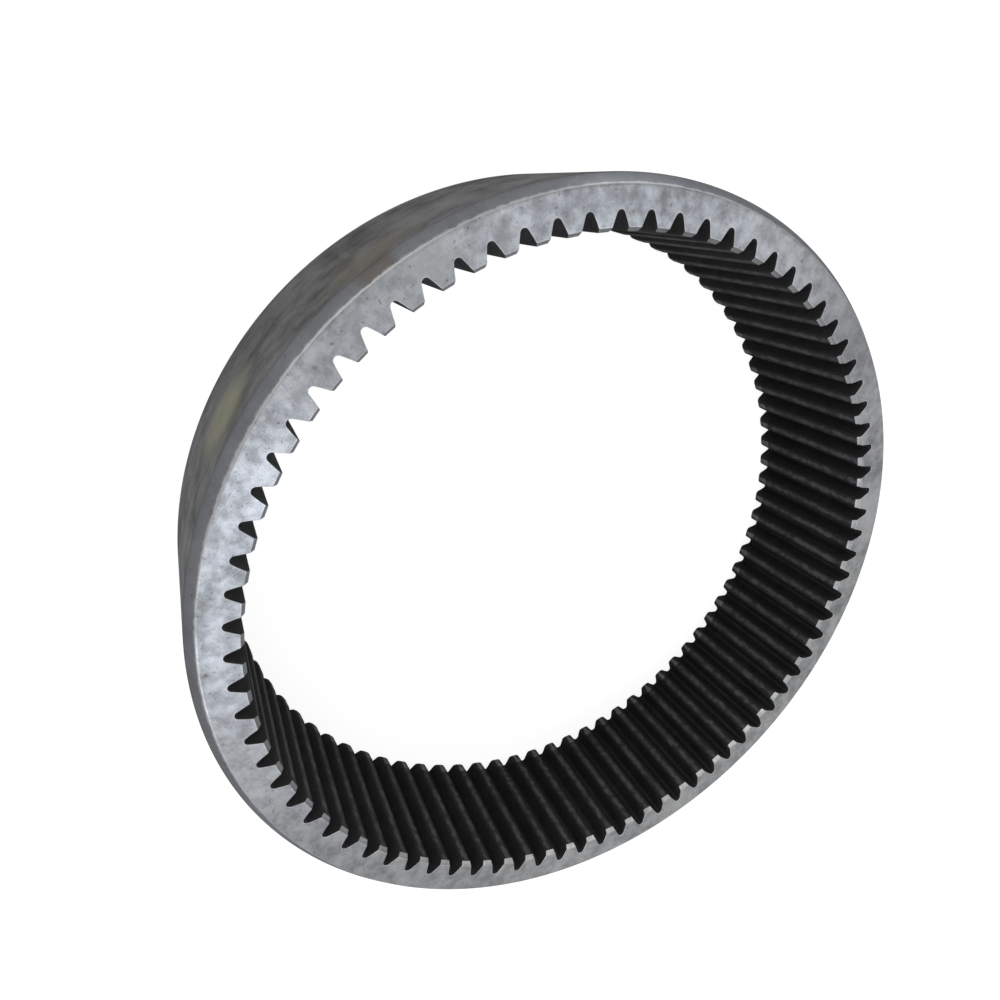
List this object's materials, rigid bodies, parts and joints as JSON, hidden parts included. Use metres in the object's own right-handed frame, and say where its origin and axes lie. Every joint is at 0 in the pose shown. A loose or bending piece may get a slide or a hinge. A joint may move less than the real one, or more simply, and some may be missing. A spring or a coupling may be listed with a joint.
{
  "type": "internal ring gear",
  "caption": "Internal ring gear of a planetary hub reduction: a one-piece steel ring with straight involute teeth in its bore, a plain outer cylinder and a lead-in chamfer.",
  "frame": {"origin": "centre of the rear end face, on the gear axis", "axes": "+Z along the gear axis, from the rear end face to the front end face with the lead-in chamfer; X through the middle of a tooth gap"},
  "size_m": [0.347, 0.347, 0.076],
  "materials": {
    "machined_steel": "turned end faces and rim, oiled shaped teeth, satin, lightly worn"
  },
  "bodies": {
    "root": {"ring_gear": "machined_steel"}
  },
  "joints": []
}
